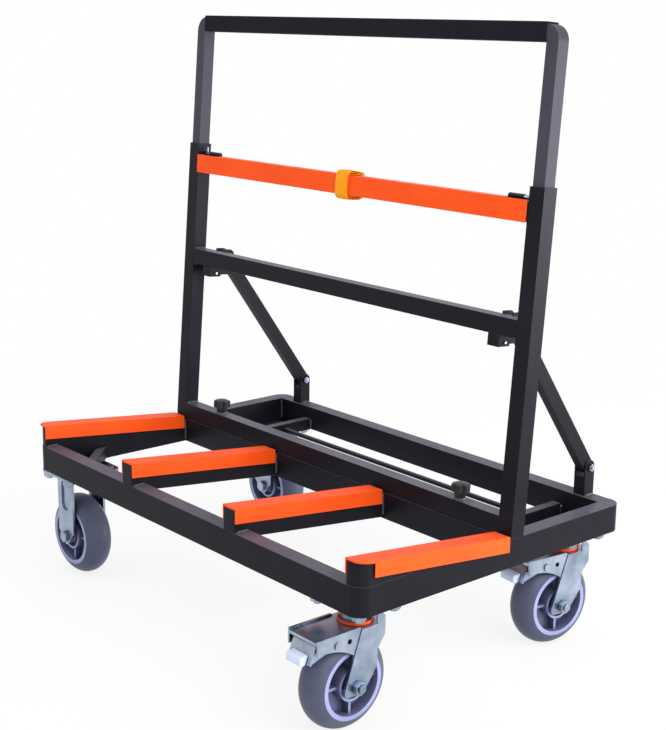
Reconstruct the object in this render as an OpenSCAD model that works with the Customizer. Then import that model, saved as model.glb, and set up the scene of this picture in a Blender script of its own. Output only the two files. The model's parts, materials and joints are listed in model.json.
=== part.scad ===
// Sheet goods cart: tube base on four casters, sloping support bars, leaning upright
// with a telescopic push handle. Millimetres, +Z up, origin at the floor under the middle.
// Base coordinates inside the modules: X from the middle of the base, Y from its front face.

/* [Base frame] */
// overall length of the base along X
base_len = 776; // [680:1:860]
// overall depth of the base along Y
base_depth = 508; // [470:1:560]
// width of the rail tube
rail_w = 25; // [23:0.5:30]
// height of the rail tube
rail_h = 40; // [36:0.5:46]
// wall of every square and rectangular tube
wall = 2; // [1.5:0.1:2.5]
// outer corner radius of the base seen from above
corner_r = 20; // [10:0.5:22]
// front face of the base to front face of the middle rail
mid_y = 271; // [255:1:290]
// diameter of the coating drain hole under each end rail
drain_d = 6; // [4:0.5:8]

/* [Support bars] */
// top of a bar above the rail top at the front
bar_rise = 32.5; // [26:0.5:36]
// top of a bar above the rail top at the middle rail
bar_tail = 2; // [1:0.25:6]
// skirt wall of the orange caps and the upper pad
cap_wall = 2; // [1.5:0.1:3]
// thickness over the resting face of the caps and the upper pad
cap_top = 3; // [2:0.25:5]
// overall depth of the cap section
cap_side = 22; // [14:0.5:24]
// start of an end cap's outer side behind the front face
skirt_from = 25; // [23:0.5:40]
// end bar inside the outer face of its rail
bar_inset = 1; // [0.5:0.25:2]
// gap between a cap's rear end and the post
cap_gap = 3; // [1:0.5:12]
// side clearance between cap and tube
cap_clear = 0.1; // [0.05:0.05:0.3]

/* [Base bracing] */
// inner corner to the far edge of a gusset
gusset_leg = 88; // [70:1:110]
// width of gusset and cross member tube
brace_w = 15; // [12:0.5:20]
// height of gusset and cross member tube
brace_h = 20; // [15:0.5:25]
// cross member centre inside the base's end
cross_x = 100; // [88:1:118]
// diameter of the rod between the cross members
rod_d = 8; // [6:0.5:12]
// front face of the base to the rod
rod_y = 425; // [380:1:440]

/* [Upright] */
// backward lean of the upright in degrees
tilt = 4.33; // [3:0.1:6]
// side of the square post and crossbar tube
up_w = 25; // [24:0.5:28]
// top of the posts above the upper crossbar
post_h = 20; // [16:1:74]
// underside of the middle crossbar above the foot
mid_bar_h = 266.5; // [240:0.5:290]
// underside of the upper crossbar above the foot
upper_bar_h = 421; // [400:1:470]
// gap between pad end and post
pad_gap = 1; // [0.5:0.25:3]

/* [Handle] */
// top of the handle tube above the foot
handle_top_h = 670; // [620:1:720]
// outer radius of the handle corners
handle_r = 22; // [6:0.5:30]
// clearance between handle leg and post
handle_clear = 0.5; // [0.3:0.05:0.8]
// length of handle leg below the latch
leg_insert = 60; // [40:1:90]
// wall of the grip sleeve
grip_wall = 2.5; // [1.5:0.25:4]
// clearance between grip and handle tube
grip_clear = 0.05; // [0.02:0.01:0.2]
// corner radius of the grip sleeve
grip_r = 2; // [0.5:0.25:3]

/* [Latch] */
// diameter of the latch bolt
latch_d = 6; // [5:0.25:7]
// wall of the latch barrel
barrel_wall = 0.95; // [0.8:0.05:1.2]
// radial clearance of the bolt in barrel and post
latch_clear = 0.06; // [0.02:0.01:0.1]
// length of the latch barrel
barrel_len = 26; // [24:0.5:32]
// gap between barrel and post, where the finger pin travels
barrel_gap = 18; // [16:0.5:22]
// finger pin diameter
finger_d = 3; // [2.5:0.25:4]
// finger pin centre from the post
finger_x = 8; // [5:0.5:9]
// finger pin top above the bolt's axis
finger_h = 10.6; // [8:0.2:16]
// guided length of the bolt inside the barrel
bolt_guide = 8; // [6:0.5:9]
// wire diameter of the latch spring
wire_d = 0.8; // [0.6:0.05:0.9]
// turns of the latch spring
spring_turns = 5; // [4:1:5]

/* [Star knobs] */
// knob centre inside the base's end
knob_x = 110; // [88:1:148]
// overall diameter of the lobed head
knob_d = 27.6; // [24:0.2:32]
// height of the lobed head
knob_head_h = 14; // [10:0.5:18]
// height of the tapered neck
knob_neck_h = 8.4; // [6:0.2:12]
// lobes round the head
knob_lobes = 6; // [5:1:8]
// stud diameter
stud_d = 8; // [6:0.5:10]
// clearance round the stud
stud_clear = 0.1; // [0.05:0.01:0.2]
// thickness of the washer
washer_t = 1.6; // [1:0.1:2.5]

/* [Struts] */
// strut and bracket centre inside the base's end
strut_x = 64; // [60:1:78]
// strut width along X
strut_w = 15; // [12:0.5:18]
// strut depth
strut_d = 20; // [16:0.5:21]
// bracket wall
ear_t = 2.4; // [2:0.1:3]
// clearance between strut and bracket wall
ear_clear = 0.1; // [0.05:0.05:0.3]
// strut bolt diameter
pivot_d = 6; // [5:0.5:8]
// clearance round the strut bolt
pivot_clear = 0.05; // [0.02:0.01:0.1]
// lower pivot above the rail top
low_pivot_h = 42; // [36:0.5:50]
// depth of the lower bracket
low_bracket_d = 21; // [18:0.5:24]
// height of the lower bracket's front web
low_web_h = 29; // [16:0.5:30]
// upper pivot behind the middle crossbar
up_pivot_back = 13; // [11.5:0.5:18]
// upper pivot above the middle of the crossbar
up_pivot_rise = 0.5; // [-4:0.5:4]
// upper bracket below the middle crossbar
up_bracket_drop = 16.5; // [12:0.5:24]
// step up of the upper bracket's lower edge towards the back
up_bracket_step = 3; // [1:0.5:5]
// corner radius of the upper bracket's ears
up_ear_r = 10; // [9:0.5:12]
// ears above the upper pivot, without the corner radius
up_ear_h = 5.5; // [3:0.5:9]

/* [Strap] */
// strap centre from the middle of the base
strap_x = 5; // [-60:1:60]
// webbing width
strap_w = 25; // [15:1:40]
// webbing thickness
strap_t = 1.6; // [1.2:0.1:2.4]
// slack of the loop behind the crossbar
strap_back = 3; // [1:0.5:8]
// slack of the loop over the pad
strap_over = 7.4; // [4:0.2:12]
// slack of the loop under the pad
strap_under = 5.3; // [3:0.1:9]

/* [Casters] */
// floor to underside of the rails
caster_h = 175; // [172:1:190]
// wheel diameter
wheel_d = 130; // [120:1:132]
// wheel width over the tyre
wheel_w = 46; // [42:0.5:50]
// radius of the tyre's inner edge
rim_r = 48; // [44:0.5:52]
// wall of the rim ring
rim_t = 6; // [4:0.5:8]
// outer radius of the ring round the hub's middle
boss_r = 22.5; // [19:0.5:26]
// wall of that ring
boss_wall = 3.5; // [2.5:0.25:5]
// ring below the rim's face
boss_inset = 1; // [0.5:0.25:3]
// recess inside the ring below the rim's face
boss_sink = 9; // [5:0.5:12]
// radius of the bearing core
core_r = 12; // [10:0.5:14]
// thickness of the hub's web
hub_web = 8; // [5:0.5:12]
// thickness of the hub ribs
rib_t = 4; // [3:0.25:5]
// ribs below the rim's face
rib_inset = 7; // [3:0.5:9]
// ribs on each side of the hub
hub_ribs = 4; // [3:1:8]
// axle diameter
axle_d = 10; // [8:0.5:12]
// radial clearance of the axle in the hub
axle_clear = 0.05; // [0.02:0.01:0.1]
// gap between tyre and fork leg
side_gap = 3.5; // [2:0.25:6]
// gap between bearing core and fork leg
boss_gap = 0.5; // [0.3:0.1:1]
// thickness of the fork legs
fork_t = 4; // [3:0.25:5]
// thickness of the top plates
plate_t = 5; // [4:0.5:6]
// long side of the top plates
plate_l = 100; // [94:1:110]
// short side of the top plates
plate_s = 85; // [80:1:92]
// corner radius of the top plates
plate_r = 12; // [6:0.5:13]
// hole spacing along the long side
hole_l = 80; // [76:0.5:84]
// hole spacing along the short side
hole_s = 60; // [58:0.5:66]
// caster stud diameter
bolt_d = 10; // [6:0.5:12]
// end of a bolt or stud beyond its nut
thread_out = 3; // [1:0.5:5]
// clearance round the caster studs
bolt_clear = 0.2; // [0.1:0.05:0.4]
// caster centre from the front or rear face of the base
caster_y = 52; // [48:1:60]
// fixed caster centre inside the base's left end
fixed_x = 43; // [42:1:52]
// swivel axis inside the base's right end
swivel_x = 64; // [56:1:70]

/* [Fixed casters] */
// width of the fixed fork's leg
fixed_leg_w = 44; // [34:1:48]
// radius of the leg's pointed lower end
fixed_leg_r = 7; // [5:0.5:9]
// lower end of the leg below the axle
fixed_drop = 14; // [12:0.5:18]
// taper of the leg starts above the axle
fixed_taper = 8; // [4:0.5:20]
// width of the pressed groove
groove_w = 22; // [12:1:26]
// depth of the pressed groove
groove_d = 2.6; // [1.2:0.1:3]
// wall behind the pressed groove
groove_wall = 3; // [2.4:0.1:3.4]
// upper end of the pressed groove below the plate, without its radius
groove_end = 8; // [5:0.5:14]
// lower end of the pressed groove above the floor
groove_z = 120; // [104:1:126]

/* [Swivel casters] */
// axle behind the swivel axis
trail = 22; // [18:0.5:26]
// turn of the rear swivel caster in degrees
rear_turn = -7.5; // [-20:0.5:20]
// rail underside to the top of the fork crown
head_h = 33; // [30:0.5:36]
// radius of the zinc swivel head
head_r = 20; // [17:0.5:24]
// height of the raceway on the fork crown
race_h = 5.5; // [5:0.25:8]
// running gap of the swivel head
race_gap = 0.5; // [0.3:0.1:1]
// king pin diameter
king_d = 14; // [10:0.5:16]
// radial clearance of the king pin
king_clear = 0.08; // [0.02:0.01:0.1]
// height of the orange seals
seal_h = 4; // [3:0.25:5]
// reach of the orange seals beyond the head
seal_w = 2.75; // [2:0.25:4]
// upper seal above the fork crown
seal_rise = 12; // [9:0.5:16]
// clearance under the seals
seal_clear = 0.05; // [0.02:0.01:0.1]
// fork leg in front of the swivel axis at the crown
leg_front = 15; // [11:0.5:18]
// fork leg behind the swivel axis
leg_back = 14; // [12:0.5:18]
// height where the leg's rear edge starts to taper
leg_knee_z = 84; // [78:1:100]
// lower end of the leg in front of the axle
toe_front = 21; // [18:0.5:24]
// lower end of the leg behind the axle
toe_back = 13; // [12:0.5:16]
// lower edge of the leg below the axle
toe_drop = 11; // [9:0.5:14]
// corner radius of the leg's lower end
toe_r = 7; // [2:0.25:8]
// crease of the leg in front of the swivel axis
crease_y = 3; // [0:0.5:6]
// inward bend of the leg at its rear edge
crease_d = 2.4; // [1:0.1:2.8]
// rear ear of the leg behind the swivel axis
ear_back = 27; // [22:0.5:29]
// top of the rear ear above the crown
ear_rise = 14; // [8:0.5:15]
// lower end of the rear ear below the crown
ear_drop = 36; // [28:0.5:40]
// brake housing in front of the swivel axis
housing_l = 87; // [82:0.5:92]
// edge lips above the housing's top
lip_h = 3; // [1.5:0.25:4]
// housing sides set in from the leg
joggle = 1.2; // [0.6:0.1:1.8]
// radius of the arch under the housing's sides
arch_r = 85; // [75:1:95]
// top of the arch in front of the swivel axis
arch_y = 76; // [70:1:82]
// height of the housing's sides over the arch
housing_nose_h = 17; // [15:0.5:20]
// height of the housing's sides at the leg
housing_h = 36; // [32:0.5:40]
// raceway rim beyond the swivel head
race_lip = 1; // [0.5:0.25:3]
// king pin head beyond the pin
king_lip = 4; // [3:0.25:5]
// thickness of the king pin head
king_head_t = 4; // [3:0.25:5]

/* [Brake pedals] */
// pedal pin in front of the swivel axis
pedal_pin_y = 54.7; // [52:0.1:58]
// pedal pin below the crown top
pedal_pin_drop = 11.4; // [11.3:0.1:13]
// diameter of the pedal pin
pedal_pin_d = 7; // [5:0.25:8]
// pin head beyond the pin
rivet_lip = 1.5; // [1:0.25:2.5]
// thickness of the pin head
rivet_h = 2; // [1:0.25:3]
// relief hole behind the pedal pin
relief_back = 20; // [16:0.5:23]
// radial clearance of the pedal on its pin
pedal_clear = 0.05; // [0.02:0.01:0.1]
// width of the pedal
pedal_w = 44; // [38:0.5:48]
// sheet thickness of the pedal
pedal_t = 3; // [2:0.25:4]
// wall of the pedal lugs round the pin
lug_wall = 3; // [2:0.25:4]
// upper edge of the pedal plate below the crown top
pedal_high = 6.5; // [6:0.25:9]
// upper edge of the pedal plate inside the housing's front edge
pedal_in = 3; // [1:0.25:5]
// lower edge of the pedal plate below the crown top
pedal_drop = 30; // [22:0.5:32]
// lower edge of the pedal plate beyond the housing's front edge
pedal_out = 7; // [5:0.25:9]
// rounding cut of the pedal tip
tip_cut = 2.5; // [1:0.25:4]
// width of the plastic pedal tip
tip_w = 29; // [24:0.5:38]
// reach of the pedal tip in front of the swivel axis
tip_reach = 103.5; // [99:0.5:112]

/* [Hidden] */

$fn = 64;
over = 1;
// how far a straight edge runs inside the arc it meets
arc_lap = 0.05;
left = -1;
right = 1;
front = 0;
rear = 1;

// base heights and half sizes
half_len = base_len / 2;
cross_at = half_len - cross_x;
knob_at = half_len - knob_x;
strut_at = half_len - strut_x;
fixed_at = half_len - fixed_x;
swivel_at = half_len - swivel_x;
rail_top = caster_h + rail_h;
rail_in = half_len - rail_w;
mid_back = mid_y + rail_w;
rear_in = base_depth - rail_w;

// support bars: straight fall from the front to the middle rail
bar_slope = (bar_rise - bar_tail) / mid_y;
bar_lean = 1 / cos(atan(bar_slope));
bar_x = half_len - rail_w / 2;
bar_pitch = 2 * bar_x / 3;
cap_end = mid_y - cap_gap;
cap_w = rail_w + 2 * (cap_clear + cap_wall);

// upright: the bottom rail stands on its rear lower edge
foot_lift = up_w * sin(tilt);
foot_y = mid_y + foot_lift * tan(tilt);
foot_z = rail_top + foot_lift;
post_in = half_len - up_w;
post_x = half_len - up_w / 2;
post_top = upper_bar_h + up_w + post_h;

// handle
leg_w = up_w - 2 * wall - 2 * handle_clear;
handle_half = post_x + leg_w / 2;
leg_in = post_x - leg_w / 2;

// latch axis over the upper crossbar
bolt_r = latch_d / 2;
bore_r = bolt_r + latch_clear;
barrel_r = bore_r + barrel_wall;
latch_h = upper_bar_h + up_w + barrel_r;
latch_off = up_w / 2;
barrel_x1 = post_in - barrel_gap;
barrel_x0 = barrel_x1 - barrel_len;
barrel_end_t = 2;
bolt_tip = post_in + wall;
bolt_shoulder = barrel_x1 - bolt_guide;
spring_pitch = wire_d + 0.6;
spring_x0 = barrel_x0 + barrel_end_t + wire_d / 2 + 0.05;
spring_r = bore_r - wire_d / 2 - 0.2;
tail_r = spring_r - wire_d / 2 - 0.4;

// struts between the two pivots
low_pivot = [base_depth - low_bracket_d / 2, rail_top + low_pivot_h];
up_pivot_off = up_w + up_pivot_back;
up_pivot_h = mid_bar_h + up_w / 2 + up_pivot_rise;
up_pivot = [
  foot_y + up_pivot_off * cos(tilt) + up_pivot_h * sin(tilt),
  foot_z - up_pivot_off * sin(tilt) + up_pivot_h * cos(tilt)
];
strut_len = norm(up_pivot - low_pivot);
strut_lean = atan2(low_pivot[0] - up_pivot[0], up_pivot[1] - low_pivot[1]);
ear_in = strut_w / 2 + ear_clear;
ear_out = ear_in + ear_t;
pivot_bore = pivot_d / 2 + pivot_clear;

// hardware shared by bolts and nuts
head_k = 0.65;
nut_k = 0.8;
hex_k = 0.95;

// casters
wheel_r = wheel_d / 2;
axle_z = wheel_r;
axle_r = axle_d / 2;
hub_half = wheel_w / 2;
fork_in = hub_half + side_gap;
fork_out = fork_in + fork_t;
plate_z = caster_h - plate_t;
crown_z = caster_h - head_h;
crown_under = crown_z - fork_t;
race_z = crown_z + race_h + race_gap;
race_r = head_r + race_lip;
king_r = king_d / 2;
king_head_r = king_r + king_lip;
tread_bulge = wheel_r - rim_r;
tread_r = (pow(hub_half, 2) + pow(tread_bulge, 2)) / (2 * tread_bulge);
swivel_turn = [0, rear_turn];
caster_yy = [caster_y, base_depth - caster_y];

// pedal side view, from the swivel axis and the floor
pin_yz = [-pedal_pin_y, crown_z - pedal_pin_drop];
lug_r = pedal_pin_d / 2 + lug_wall;
pedal_top = [pedal_in - housing_l, crown_z - pedal_high];
pedal_low = [-housing_l - pedal_out, crown_z - pedal_drop];
tip_start = 0.52;
tip_stop = 0.98;

// the frame's middle in base coordinates
x_low = -max(half_len + cap_clear + cap_wall, fixed_at + wheel_r);
x_high = half_len + cap_clear + cap_wall;
y_low = caster_y - tip_reach;
shift_x = -(x_low + x_high) / 2;
shift_y = -(y_low + base_depth) / 2;

black = [0.06, 0.06, 0.07];
orange = [0.95, 0.33, 0.08];
zinc = [0.72, 0.72, 0.75];
lavender = [0.62, 0.64, 0.80];
tread_grey = [0.36, 0.35, 0.40];
yellow = [0.90, 0.74, 0.30];

function bar_top(y) = rail_top + bar_rise - bar_slope * y;
function along(a, b, t) = a + (b - a) * t;
function turn(v, a) = [v[0] * cos(a) - v[1] * sin(a), v[0] * sin(a) + v[1] * cos(a)];
function tangent(p, c, r, side) =
  let (d = p - c, far = norm(d)) c + turn(d / far * r, side * acos(r / far));

module in_base() {
  translate([shift_x, shift_y, 0]) children();
}

module in_upright() {
  in_base() translate([0, foot_y, foot_z]) rotate([-tilt, 0, 0]) children();
}

// side view drawn as [y, z], extruded along X about x = 0
module side_view(len) {
  rotate([90, 0, 90]) linear_extrude(height = len, center = true) children();
}

// front view drawn as [x, z], extruded along Y about y = 0
module front_view(len) {
  rotate([90, 0, 0]) linear_extrude(height = len, center = true) children();
}

module rounded_rect(size, r) {
  translate([r, 0]) square([size[0] - 2 * r, size[1]]);
  translate([0, r]) square([size[0], size[1] - 2 * r]);
  for (x = [r, size[0] - r], y = [r, size[1] - r]) translate([x, y]) circle(r);
}

module footprint(inset) {
  translate([-half_len + inset, inset])
    rounded_rect([base_len - 2 * inset, base_depth - 2 * inset], corner_r - inset);
}

// open square tube along X, low corner at [y, z]
module tube_x(x0, x1, y, z, w, h) {
  difference() {
    translate([x0, y, z]) cube([x1 - x0, w, h]);
    translate([x0 - over, y + wall, z + wall])
      cube([x1 - x0 + 2 * over, w - 2 * wall, h - 2 * wall]);
  }
}

module rod_x(x0, x1, y, z, r) {
  translate([x0, y, z]) rotate([0, 90, 0]) cylinder(h = x1 - x0, r = r);
}

module hex_x(x0, x1, y, z, r) {
  translate([x0, y, z]) rotate([0, 90, 0]) cylinder(h = x1 - x0, r = r, $fn = 6);
}

module front_rail() {
  color(black) in_base() tube_x(-rail_in, rail_in, 0, caster_h, rail_w, rail_h);
}

module rear_rail() {
  color(black) in_base() tube_x(-rail_in, rail_in, rear_in, caster_h, rail_w, rail_h);
}

module end_rail(side) {
  color(black) in_base() mirror([side == left ? 1 : 0, 0, 0]) difference() {
    translate([0, 0, caster_h]) linear_extrude(height = rail_h) intersection() {
      footprint(0);
      translate([rail_in, 0]) square([rail_w, base_depth]);
    }
    translate([0, 0, caster_h + wall]) linear_extrude(height = rail_h - 2 * wall) intersection() {
      footprint(wall);
      translate([rail_in + wall, 0]) square([rail_w, base_depth]);
    }
    translate([bar_x, base_depth / 2, caster_h - over]) cylinder(h = wall + 2 * over, d = drain_d);
  }
}

module mid_rail() {
  color(black) difference() {
    in_base() tube_x(-rail_in, rail_in, mid_y, caster_h, rail_w, rail_h);
    for (s = [left, right]) in_upright() translate([s * knob_at, up_w / 2, -rail_h / 2])
      cylinder(h = rail_h, d = stud_d + 4 * stud_clear + 1);
  }
}

// tube that falls from the front to the middle rail, notched over the front rail
module mid_bar(x) {
  h = rail_h * bar_lean;
  t = wall * bar_lean;
  color(black) in_base() translate([x, 0, 0]) difference() {
    side_view(rail_w) polygon([
      [0, rail_top], [0, bar_top(0)], [mid_y, bar_top(mid_y)], [mid_y, bar_top(mid_y) - h],
      [rail_w, bar_top(rail_w) - h], [rail_w, rail_top]
    ]);
    side_view(rail_w - 2 * wall) polygon([
      [wall, rail_top + wall], [wall, bar_top(wall) - t],
      [mid_y + over, bar_top(mid_y + over) - t], [mid_y + over, bar_top(mid_y + over) - h + t],
      [rail_w + wall, bar_top(rail_w + wall) - h + t], [rail_w + wall, rail_top + wall]
    ]);
  }
}

// wedge cut from the same tube, lying open side down on the end rail
module end_bar(side) {
  t = wall * bar_lean;
  color(black) in_base() mirror([side == left ? 1 : 0, 0, 0]) difference() {
    intersection() {
      translate([bar_x, 0, 0]) side_view(rail_w) polygon([
        [0, rail_top], [0, bar_top(0)], [mid_y, bar_top(mid_y)], [mid_y, rail_top]
      ]);
      linear_extrude(height = 2 * rail_top) footprint(bar_inset);
    }
    intersection() {
      translate([bar_x, 0, 0]) side_view(rail_w - 2 * wall) polygon([
        [wall, rail_top - rail_h], [wall, bar_top(wall) - t],
        [mid_y - wall, bar_top(mid_y - wall) - t], [mid_y - wall, rail_top - rail_h]
      ]);
      linear_extrude(height = 2 * rail_top) footprint(wall + bar_inset);
    }
  }
}

module cap_section(x, w, lift, fall, past) {
  translate([x, 0, 0]) side_view(w) polygon([
    [-past, bar_top(-past) + lift], [cap_end + past, bar_top(cap_end + past) + lift],
    [cap_end + past, bar_top(cap_end + past) - fall], [-past, bar_top(-past) - fall]
  ]);
}

module mid_cap(x) {
  color(orange) in_base() difference() {
    cap_section(x, cap_w, cap_top * bar_lean, (cap_side - cap_top) * bar_lean, 0);
    cap_section(x, rail_w + 2 * cap_clear, 0, cap_side * bar_lean, over);
  }
}

module end_cap(side) {
  color(orange) in_base() mirror([side == left ? 1 : 0, 0, 0]) difference() {
    intersection() {
      cap_section(bar_x, cap_w, cap_top * bar_lean, (cap_side - cap_top) * bar_lean, 0);
      linear_extrude(height = 2 * rail_top) footprint(-cap_clear - cap_wall);
    }
    intersection() {
      cap_section(bar_x, rail_w + 2 * cap_clear, 0, cap_side * bar_lean, over);
      linear_extrude(height = 2 * rail_top) footprint(-cap_clear);
    }
    intersection() {
      cap_section(bar_x, 2 * cap_w, 0, cap_side * bar_lean, over);
      translate([bar_x - rail_w / 2, -cap_w, 0]) cube([rail_w + cap_w, cap_w + skirt_from, 2 * rail_top]);
    }
  }
}

// diagonal tubes across the front corners, mitred to both rails
module corner_gussets() {
  cut = brace_w * sqrt(2);
  t = wall * sqrt(2);
  color(black) in_base() for (s = [0, 1]) mirror([s, 0, 0])
    translate([-rail_in, rail_w, caster_h]) difference() {
      linear_extrude(height = brace_h)
        polygon([[gusset_leg, 0], [0, gusset_leg], [0, gusset_leg - cut], [gusset_leg - cut, 0]]);
      translate([0, 0, wall]) linear_extrude(height = brace_h - 2 * wall) polygon([
        [gusset_leg - t + over, -over], [-over, gusset_leg - t + over],
        [-over, gusset_leg - cut + t + over], [gusset_leg - cut + t + over, -over]
      ]);
    }
}

module cross_members() {
  color(black) in_base() for (s = [left, right]) difference() {
    translate([s * cross_at - brace_w / 2, mid_back, caster_h])
      cube([brace_w, rear_in - mid_back, brace_h]);
    translate([s * cross_at - brace_w / 2 + wall, mid_back - over, caster_h + wall])
      cube([brace_w - 2 * wall, rear_in - mid_back + 2 * over, brace_h - 2 * wall]);
  }
}

module brace_rod() {
  reach = cross_at - brace_w / 2;
  color(black) in_base() rod_x(-reach, reach, rod_y, caster_h + brace_h / 2, rod_d / 2);
}

// channel on the rear rail, web to the front, ears round the pivot
module lower_brackets() {
  y0 = base_depth - low_bracket_d;
  color(black) in_base() for (s = [left, right]) translate([s * strut_at, 0, 0]) difference() {
    union() {
      for (e = [left, right]) translate([e * (ear_in + ear_t / 2), 0, 0]) side_view(ear_t) {
        translate([y0, rail_top]) square([low_bracket_d, low_pivot_h]);
        translate(low_pivot) circle(low_bracket_d / 2);
      }
      translate([-ear_out, y0, rail_top]) cube([2 * ear_out, ear_t, low_web_h]);
    }
    rod_x(-ear_out - over, ear_out + over, low_pivot[0], low_pivot[1], pivot_bore);
  }
}

module post(side) {
  color(black) mirror_x(side) difference() {
    in_upright() difference() {
      translate([post_in, 0, -up_w]) cube([up_w, up_w, post_top + up_w]);
      translate([post_in + wall, wall, -up_w - over])
        cube([up_w - 2 * wall, up_w - 2 * wall, post_top + up_w + 2 * over]);
      rod_x(post_in - over, post_in + wall + handle_clear / 2, latch_off, latch_h, bore_r);
    }
    in_base() translate([0, 0, rail_top - rail_h]) cube([base_len, base_depth, rail_h]);
  }
}

// mirrors a placed right-hand piece to the left of the base's middle
module mirror_x(side) {
  if (side == left) translate([2 * shift_x, 0, 0]) mirror([1, 0, 0]) children();
  else children();
}

module bottom_rail() {
  color(black) in_upright() difference() {
    tube_x(-post_in, post_in, 0, 0, up_w, up_w);
    for (s = [left, right]) translate([s * knob_at, up_w / 2, -over])
      cylinder(h = up_w + 2 * over, d = stud_d + 2 * stud_clear);
  }
}

module mid_crossbar() {
  color(black) in_upright() tube_x(-post_in, post_in, 0, mid_bar_h, up_w, up_w);
}

module upper_crossbar() {
  color(black) in_upright() tube_x(-post_in, post_in, 0, upper_bar_h, up_w, up_w);
}

// the cap section turned to the front, its upper skirt cut away at the latches
module upper_pad() {
  reach = post_in - pad_gap;
  h0 = upper_bar_h - cap_clear;
  h1 = upper_bar_h + up_w + cap_clear;
  notch = barrel_x0 - cap_gap;
  color(orange) in_upright() difference() {
    translate([-reach, -cap_top, h0 - cap_wall]) cube([2 * reach, cap_side, h1 - h0 + 2 * cap_wall]);
    translate([-reach - over, 0, h0]) cube([2 * reach + 2 * over, cap_side, h1 - h0]);
    for (s = [0, 1]) mirror([s, 0, 0])
      translate([notch, 0, h1 - over]) cube([post_in - notch, cap_side, cap_wall + 2 * over]);
  }
}

// channel under and behind the middle crossbar, ears round the pivot
module upper_brackets() {
  drop_h = mid_bar_h - up_bracket_drop;
  step = up_bracket_step;
  round_r = up_ear_r;
  back = up_pivot_off - up_w;
  ear_low = drop_h + step + round_r;
  ear_high = up_pivot_h + up_ear_h;
  color(black) in_upright() for (s = [left, right]) translate([s * strut_at, 0, 0]) difference() {
    union() {
      for (e = [left, right]) translate([e * (ear_in + ear_t / 2), 0, 0]) side_view(ear_t) {
        translate([0, drop_h]) square([up_w - step, up_bracket_drop]);
        translate([0, drop_h + step]) square([up_w, up_bracket_drop - step]);
        translate([up_w, drop_h + step]) square([back, ear_high + round_r - drop_h - step]);
        translate([up_w, ear_low]) square([back + round_r, ear_high - ear_low]);
        translate([up_pivot_off, ear_low]) circle(round_r);
        translate([up_pivot_off, ear_high]) circle(round_r);
      }
      translate([-ear_out, 0, drop_h]) cube([2 * ear_out, ear_t, up_bracket_drop]);
    }
    rod_x(-ear_out - over, ear_out + over, up_pivot_off, up_pivot_h, pivot_bore);
    rod_x(-ear_out - over, ear_out + over, up_w / 2, drop_h + up_bracket_drop / 3, pivot_bore - 1);
  }
}

module strut(side) {
  color(black) in_base() translate([side * strut_at, low_pivot[0], low_pivot[1]])
    rotate([strut_lean, 0, 0]) difference() {
      side_view(strut_w) {
        translate([-strut_d / 2, 0]) square([strut_d, strut_len]);
        for (h = [0, strut_len]) translate([0, h]) circle(strut_d / 2);
      }
      translate([wall - strut_w / 2, wall - strut_d / 2, -strut_len])
        cube([strut_w - 2 * wall, strut_d - 2 * wall, 3 * strut_len]);
      for (h = [0, strut_len]) rod_x(-strut_w, strut_w, 0, h, pivot_bore);
    }
}

// bolt across a bracket with its nut on the right
module pivot_bolt(y, z) {
  r = pivot_d / 2;
  hex = pivot_d * hex_k;
  nut = ear_out + pivot_d * nut_k;
  rod_x(-ear_out - over, nut + 2, y, z, r);
  hex_x(-ear_out - pivot_d * head_k, -ear_out, y, z, hex);
  difference() {
    hex_x(ear_out, nut, y, z, hex);
    rod_x(ear_out - over, nut + over, y, z, pivot_bore);
  }
}

// strut bolts and nuts, bracket pins, knob washers and the weld nuts under the knobs
module frame_hardware() {
  pin_h = mid_bar_h - up_bracket_drop * 2 / 3;
  nut_r = stud_d * hex_k;
  stud_r = stud_d / 2 + stud_clear;
  nut_top = ((up_w / 2 - nut_r - up_w) * sin(tilt) - wall) / cos(tilt) - 0.05;
  color(zinc) for (s = [left, right]) {
    in_base() translate([s * strut_at, 0, 0]) pivot_bolt(low_pivot[0], low_pivot[1]);
    in_upright() translate([s * strut_at, 0, 0]) {
      pivot_bolt(up_pivot_off, up_pivot_h);
      rod_x(-ear_out - over, ear_out + 2, up_w / 2, pin_h, pivot_bore - 1.05);
    }
    in_upright() translate([s * knob_at, up_w / 2, 0]) {
      translate([0, 0, up_w]) difference() {
        cylinder(h = washer_t, r = stud_d + 1);
        translate([0, 0, -over]) cylinder(h = washer_t + 2 * over, r = stud_r);
      }
      translate([0, 0, nut_top - stud_d * nut_k]) difference() {
        cylinder(h = stud_d * nut_k, r = nut_r, $fn = 6);
        translate([0, 0, -over]) cylinder(h = stud_d, r = stud_r);
      }
    }
  }
}

// inside of the loop grown by a margin: straight front and back, arched over and under the pad
module strap_outline(grow) {
  half = (up_w + strap_back + cap_top) / 2;
  mid = half - cap_top;
  low = upper_bar_h - cap_clear - cap_wall;
  high = upper_bar_h + up_w + cap_clear + cap_wall;
  over_r = (pow(half, 2) + pow(strap_over, 2)) / (2 * strap_over);
  under_r = (pow(half, 2) + pow(strap_under, 2)) / (2 * strap_under);
  translate([mid - half - grow, low]) square([2 * (half + grow), high - low]);
  intersection() {
    translate([mid, high + strap_over - over_r]) circle(over_r + grow);
    translate([mid - half - grow, high - over]) square([2 * (half + grow), over_r]);
  }
  intersection() {
    translate([mid, low - strap_under + under_r]) circle(under_r + grow);
    translate([mid - half - grow, low + over - under_r]) square([2 * (half + grow), under_r]);
  }
}

// flat webbing loop round pad and upper crossbar
module strap_loop() {
  color(yellow) in_upright() translate([strap_x, 0, 0]) side_view(strap_w) difference() {
    strap_outline(strap_t);
    strap_outline(0);
  }
}

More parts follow.
